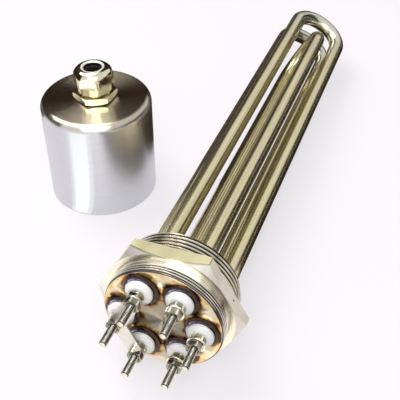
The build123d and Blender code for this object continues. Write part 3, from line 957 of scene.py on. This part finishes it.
gland_nickel, tree, shader, place = metal("gland_nickel_plated", 0.1)
patches = use(tree, smudges, {"Position": place, "Size": 0.006})["Amount"]
colour = blend(tree, patches, (0.84, 0.80, 0.62, 1), (0.72, 0.67, 0.47, 1))
height = add(tree, "SeparateXYZ", {0: place}).outputs["Z"]
inside_rim = sum_of(tree, "SUBTRACT", 1.0, rising(tree, from_axis(tree, place), 0.0064, 0.0069))
on_rim = sum_of(tree, "MULTIPLY", rising(tree, height, 0.0190, 0.0194), inside_rim)
colour = blend(tree, on_rim, colour, (0.94, 0.93, 0.88, 1))
lay(tree, shader, colour, patches, (0.1, 0.16), 0.00001, 0.1, sum_of(tree, "MULTIPLY", on_rim, 0.35))

black_rubber, tree, shader, place = metal("rubber_black", 0.6)
shader.inputs["Metallic"].default_value = 0.0
shader.inputs["Specular IOR Level"].default_value = 0.2
patches = use(tree, smudges, {"Position": place, "Size": 0.002})["Amount"]
colour = blend(tree, patches, (0.012, 0.012, 0.012, 1), (0.03, 0.03, 0.03, 1))
lay(tree, shader, colour, patches, (0.5, 0.7), 0.00003, 0.3)

# %% [markdown]
# ## Inside the tubes
#
# The parts inside the heater and the gland are shown by the plain solids themselves: resistance
# wire, packed powder, resin and the nylon claw. Each has a finish of its own, for a view into
# the tubes or through the gland.

# %% Hidden finishes
def hidden_finish(name, light, dark, size, metallic, rough):
    """A finish that wavers between two colours in small patches."""
    material, tree, shader, place = metal(name, rough)
    shader.inputs["Metallic"].default_value = metallic
    patches = use(tree, smudges, {"Position": place, "Size": size})["Amount"]
    colour = blend(tree, patches, (*dark, 1), (*light, 1))
    lay(tree, shader, colour, patches, (rough, rough + 0.15), 0.00004, 0.4)
    return material


resistance_wire = hidden_finish("resistance_wire", (0.45, 0.43, 0.4), (0.3, 0.28, 0.27), 0.0008, 1.0, 0.35)
packed_powder = hidden_finish("packed_powder", (0.84, 0.82, 0.76), (0.74, 0.71, 0.64), 0.001, 0.0, 0.8)
cast_resin = hidden_finish("cast_resin", (0.48, 0.38, 0.28), (0.36, 0.28, 0.2), 0.002, 0.0, 0.45)
claw_nylon = hidden_finish("claw_nylon_black", (0.05, 0.05, 0.055), (0.03, 0.03, 0.032), 0.002, 0.0, 0.45)

finishes = {"plug": plug_steel, "tube": tube_steel, "weld": weld_bead, "nut": nickel, "stud": stud_steel}
finishes |= {"bridge": bridge_metal, "ceramic": white_ceramic, "cover": cover_steel, "gland": gland_nickel}
finishes["rubber"] = black_rubber
for kind, pieces in made.items():
    for piece in pieces:
        piece.data.materials.append(finishes[kind])
plug_mesh = made["plug"][0].data
plug_mesh.materials.append(plug_face)
for face in plug_mesh.polygons:
    face.material_index = int(face.center.z > -0.0001 and face.normal.z > 0.9)
hidden = {"end_seals": cast_resin, "gland_claw": claw_nylon}
for number in (1, 2, 3):
    hidden[f"heating_coil_{number}"] = resistance_wire
    hidden[f"magnesia_fill_{number}"] = packed_powder
for node, material in hidden.items():
    for slot in frame["nodes"][node].material_slots:
        slot.material = material
print("finishes:", len(finishes) + 5)

# %% [markdown]
# ## Floor, light and camera
#
# The heater lies on a white studio floor that runs away into white. Bare diffuse white would
# need strong lamps, and the pale steel would burn out. So the floor shows its white only to the
# camera and in reflections, and keeps a soft shadow from the lamps.

# %% Floor
floor_reach = 3.0
floor_mesh = bpy.data.meshes.new("studio_floor")
corners = [(-floor_reach, -floor_reach, 0), (floor_reach, -floor_reach, 0), (floor_reach, floor_reach, 0)]
floor_mesh.from_pydata([*corners, (-floor_reach, floor_reach, 0)], [], [(0, 1, 2, 3)])
studio_floor = bpy.data.objects.new("studio_floor", floor_mesh)
studio_floor.location.z = -0.0002
bpy.context.scene.collection.objects.link(studio_floor)

paper = bpy.data.materials.new("white_paper")
paper.use_nodes = True
nodes, links = paper.node_tree.nodes, paper.node_tree.links
nodes.clear()
output = nodes.new("ShaderNodeOutputMaterial")
diffuse = nodes.new("ShaderNodeBsdfDiffuse")
diffuse.inputs["Color"].default_value = (0.29, 0.27, 0.28, 1)
glow = nodes.new("ShaderNodeEmission")
glow.inputs["Color"].default_value = (0.98, 0.965, 1.0, 1)
path = nodes.new("ShaderNodeLightPath")
seen = nodes.new("ShaderNodeMath")
seen.operation = "MAXIMUM"
links.new(path.outputs["Is Camera Ray"], seen.inputs[0])
links.new(path.outputs["Is Glossy Ray"], seen.inputs[1])
seen_through = nodes.new("ShaderNodeMath")
seen_through.operation = "MAXIMUM"
links.new(seen.outputs[0], seen_through.inputs[0])
links.new(path.outputs["Is Transmission Ray"], seen_through.inputs[1])
strength = nodes.new("ShaderNodeMath")
strength.operation = "MULTIPLY"
strength.inputs[1].default_value = 0.64
links.new(seen_through.outputs[0], strength.inputs[0])
links.new(strength.outputs[0], glow.inputs["Strength"])
both = nodes.new("ShaderNodeAddShader")
links.new(diffuse.outputs[0], both.inputs[0])
links.new(glow.outputs[0], both.inputs[1])
links.new(both.outputs[0], output.inputs["Surface"])
floor_mesh.materials.append(paper)

# %% World
world = bpy.data.worlds.new("studio_room")
bpy.context.scene.world = world
world.use_nodes = True
nodes, links = world.node_tree.nodes, world.node_tree.links
nodes.clear()
output = nodes.new("ShaderNodeOutputWorld")
background = nodes.new("ShaderNodeBackground")
path = nodes.new("ShaderNodeLightPath")
seen = nodes.new("ShaderNodeMath")
seen.operation = "MAXIMUM"
links.new(path.outputs["Is Camera Ray"], seen.inputs[0])
links.new(path.outputs["Is Glossy Ray"], seen.inputs[1])
seen_through = nodes.new("ShaderNodeMath")
seen_through.operation = "MAXIMUM"
links.new(seen.outputs[0], seen_through.inputs[0])
links.new(path.outputs["Is Transmission Ray"], seen_through.inputs[1])
strength = nodes.new("ShaderNodeMapRange")
strength.inputs["To Min"].default_value = 0.55
strength.inputs["To Max"].default_value = 1.0
links.new(seen_through.outputs[0], strength.inputs["Value"])
links.new(strength.outputs[0], background.inputs["Strength"])
links.new(background.outputs[0], output.inputs["Surface"])


# %% [markdown]
# ## Dark screens
#
# Polished metal shows only what stands round it. In an all-white room it looks like chalk, so a
# photographer sets dark screens where the metal should go dark. Here they stand behind the
# heater and beside it. They are seen in reflections alone, and they throw no shadow.

# %% Dark screens
def plain_glow(name, colour, brightness=1.0):
    """A material that shows one brightness from every side."""
    material = bpy.data.materials.new(name)
    material.use_nodes = True
    nodes, links = material.node_tree.nodes, material.node_tree.links
    nodes.clear()
    output = nodes.new("ShaderNodeOutputMaterial")
    glow = nodes.new("ShaderNodeEmission")
    glow.inputs["Color"].default_value = (*colour, 1)
    glow.inputs["Strength"].default_value = brightness
    links.new(glow.outputs[0], output.inputs["Surface"])
    return material


screen_colour = plain_glow("screen_brown", (0.030, 0.018, 0.012))
strip_colour = plain_glow("strip_white", (1, 1, 1), 1.55)
strip_edge_colour = plain_glow("strip_edge", (1, 1, 1), 1.2)


def screen(name, points, faces, material=screen_colour):
    """A surface that only reflections see."""
    mesh = bpy.data.meshes.new(name)
    mesh.from_pydata(points, [], faces)
    mesh.materials.append(material)
    panel = bpy.data.objects.new(name, mesh)
    bpy.context.scene.collection.objects.link(panel)
    panel.visible_camera = False
    panel.visible_diffuse = False
    panel.visible_transmission = False
    panel.visible_volume_scatter = False
    panel.visible_shadow = False
    return panel


def curved_screen(name, reach, edges):
    """A screen that stands round the scene. edges lists (azimuth, lowest, highest) in degrees."""
    points = []
    for azimuth, *heights in edges:
        for height in heights:
            turned, raised = math.radians(azimuth), math.radians(height)
            out = Vector((math.cos(raised) * math.cos(turned), math.cos(raised) * math.sin(turned), math.sin(raised)))
            points.append(out * reach)
    steps = range(len(edges) - 1)
    return screen(name, points, [(2 * s, 2 * s + 2, 2 * s + 3, 2 * s + 1) for s in steps])


behind = [(60, 0.3, 14), (80, 0.3, 17), (98, 0.3, 20), (108, 0.3, 27), (115, 0.3, 40), (136, 0.3, 40), (165, 0.3, 42)]
curved_screen("screen_behind", 2.0, [*behind, (200, 0.3, 50), (212, 0.3, 44), (222, 0.3, 10)])
curved_screen("screen_right", 2.0, [(-40, 0.3, 18), (-10, 0.3, 26), (30, 0.3, 30), (48, 0.3, 26), (60, 0.3, 14)])
near_left, near_right = Vector((-0.155, 0.004, 0)), Vector((-0.010, 0.084, 0))
notched = [(0, 0.05), (1, 0.05), (1, 0.25), (0.65, 0.25), (0.57, 0.15), (0.43, 0.15), (0.35, 0.25), (0, 0.22)]
near_cover = [near_left.lerp(near_right, along) + Vector((0, 0, height)) for along, height in notched]
screen("screen_at_cover", near_cover, [tuple(range(len(near_cover)))])
ground = [(0.012, -0.12), (0.075, -0.12), (0.13, -0.13), (0.13, -0.40), (0.50, -0.40), (0.50, 0.90), (-0.60, 0.90)]
ground += [(-0.60, -0.05), (-0.165, -0.02), (-0.135, 0.06), (-0.03, 0.03), (0.012, 0.0)]
screen("screen_on_floor", [(*point, 0.0008) for point in ground], [tuple(range(len(ground)))])


def floor_strip(name, material, height, left, right):
    """A bright strip from the cover's foot. left and right are its start (x) and its azimuth."""
    corners = []
    for start, azimuth in (left, right):
        foot = Vector((cover_middle.x + start * MM, cover_middle.y - 31 * MM, height))
        way = Vector((math.cos(math.radians(azimuth)), math.sin(math.radians(azimuth)), 0))
        corners += [foot, foot + way * 0.13]
    screen(name, corners, [(0, 2, 3, 1)], material)


# The bright strips and cards below glow and are seen in reflections alone: they put painted highlights and painted
# reflections into the metal.
floor_strip("strip_on_floor", strip_colour, 0.0008, (-4.5, -124), (3.0, -86))
floor_strip("strip_soft_edge", strip_edge_colour, 0.0006, (-7.0, -130), (5.5, -78))

card_colour = plain_glow("card_warm", (1.0, 0.93, 0.90), 0.88)
card_foot = [(0.136, -0.131), (0.088, -0.083)]
card = [(*card_foot[0], 0.001), (*card_foot[1], 0.001), (*card_foot[1], 0.075), (*card_foot[0], 0.075)]
screen("card_at_hexagon", card, [(0, 1, 2, 3)], card_colour)
face_card = [(-0.03, -0.15, 0.0008), (0.078, -0.15, 0.0008), (0.078, -0.24, 0.0008), (-0.03, -0.24, 0.0008)]
screen("card_at_face", face_card, [(0, 1, 2, 3)], plain_glow("card_face", (1.0, 0.96, 0.88), 1.3))


# %% Lamps
def area_lamp(name, target, azimuth, elevation, distance, size, power, tint=(1, 1, 1)):
    """A square soft lamp aimed at a target. Azimuth is in degrees from +X."""
    turned, raised = math.radians(azimuth), math.radians(elevation)
    out = Vector((math.cos(raised) * math.cos(turned), math.cos(raised) * math.sin(turned), math.sin(raised)))
    light = bpy.data.lights.new(name, "AREA")
    light.energy = power
    light.size = size
    light.color = tint
    lamp = bpy.data.objects.new(name, light)
    lamp.location = Vector(target) + out * distance
    lamp.rotation_euler = (-out).to_track_quat("-Z", "Y").to_euler()
    bpy.context.scene.collection.objects.link(lamp)
    return lamp


middle = (0, 0, 0.03)
area_lamp("key", middle, 160, 62, 1.2, 0.8, 10.0, (1.0, 0.97, 0.93))
area_lamp("front_fill", middle, -75, 50, 1.2, 0.9, 8.0, (0.97, 0.98, 1.0))
crest = area_lamp("crest", middle, 108, 57, 1.2, 0.13, 0.35, (1.0, 0.98, 0.94))
crest.visible_diffuse = False

# %% Camera
camera_data = bpy.data.cameras.new("photo_view")
camera_data.lens = 70.29
camera_data.sensor_width = 36
camera = bpy.data.objects.new("photo_view", camera_data)
heading = Matrix.Rotation(math.radians(19.94), 4, "Z")
pitch = Matrix.Rotation(math.radians(49.15), 4, "X")
roll = Matrix.Rotation(math.radians(-0.31), 4, "Z")
eye = plug_place.translation + Vector((0.09736, -0.21640, 0.27785))
camera.matrix_world = Matrix.Translation(eye) @ heading @ pitch @ roll
bpy.context.scene.collection.objects.link(camera)
bpy.context.scene.camera = camera
bpy.context.scene.view_settings.view_transform = "Standard"
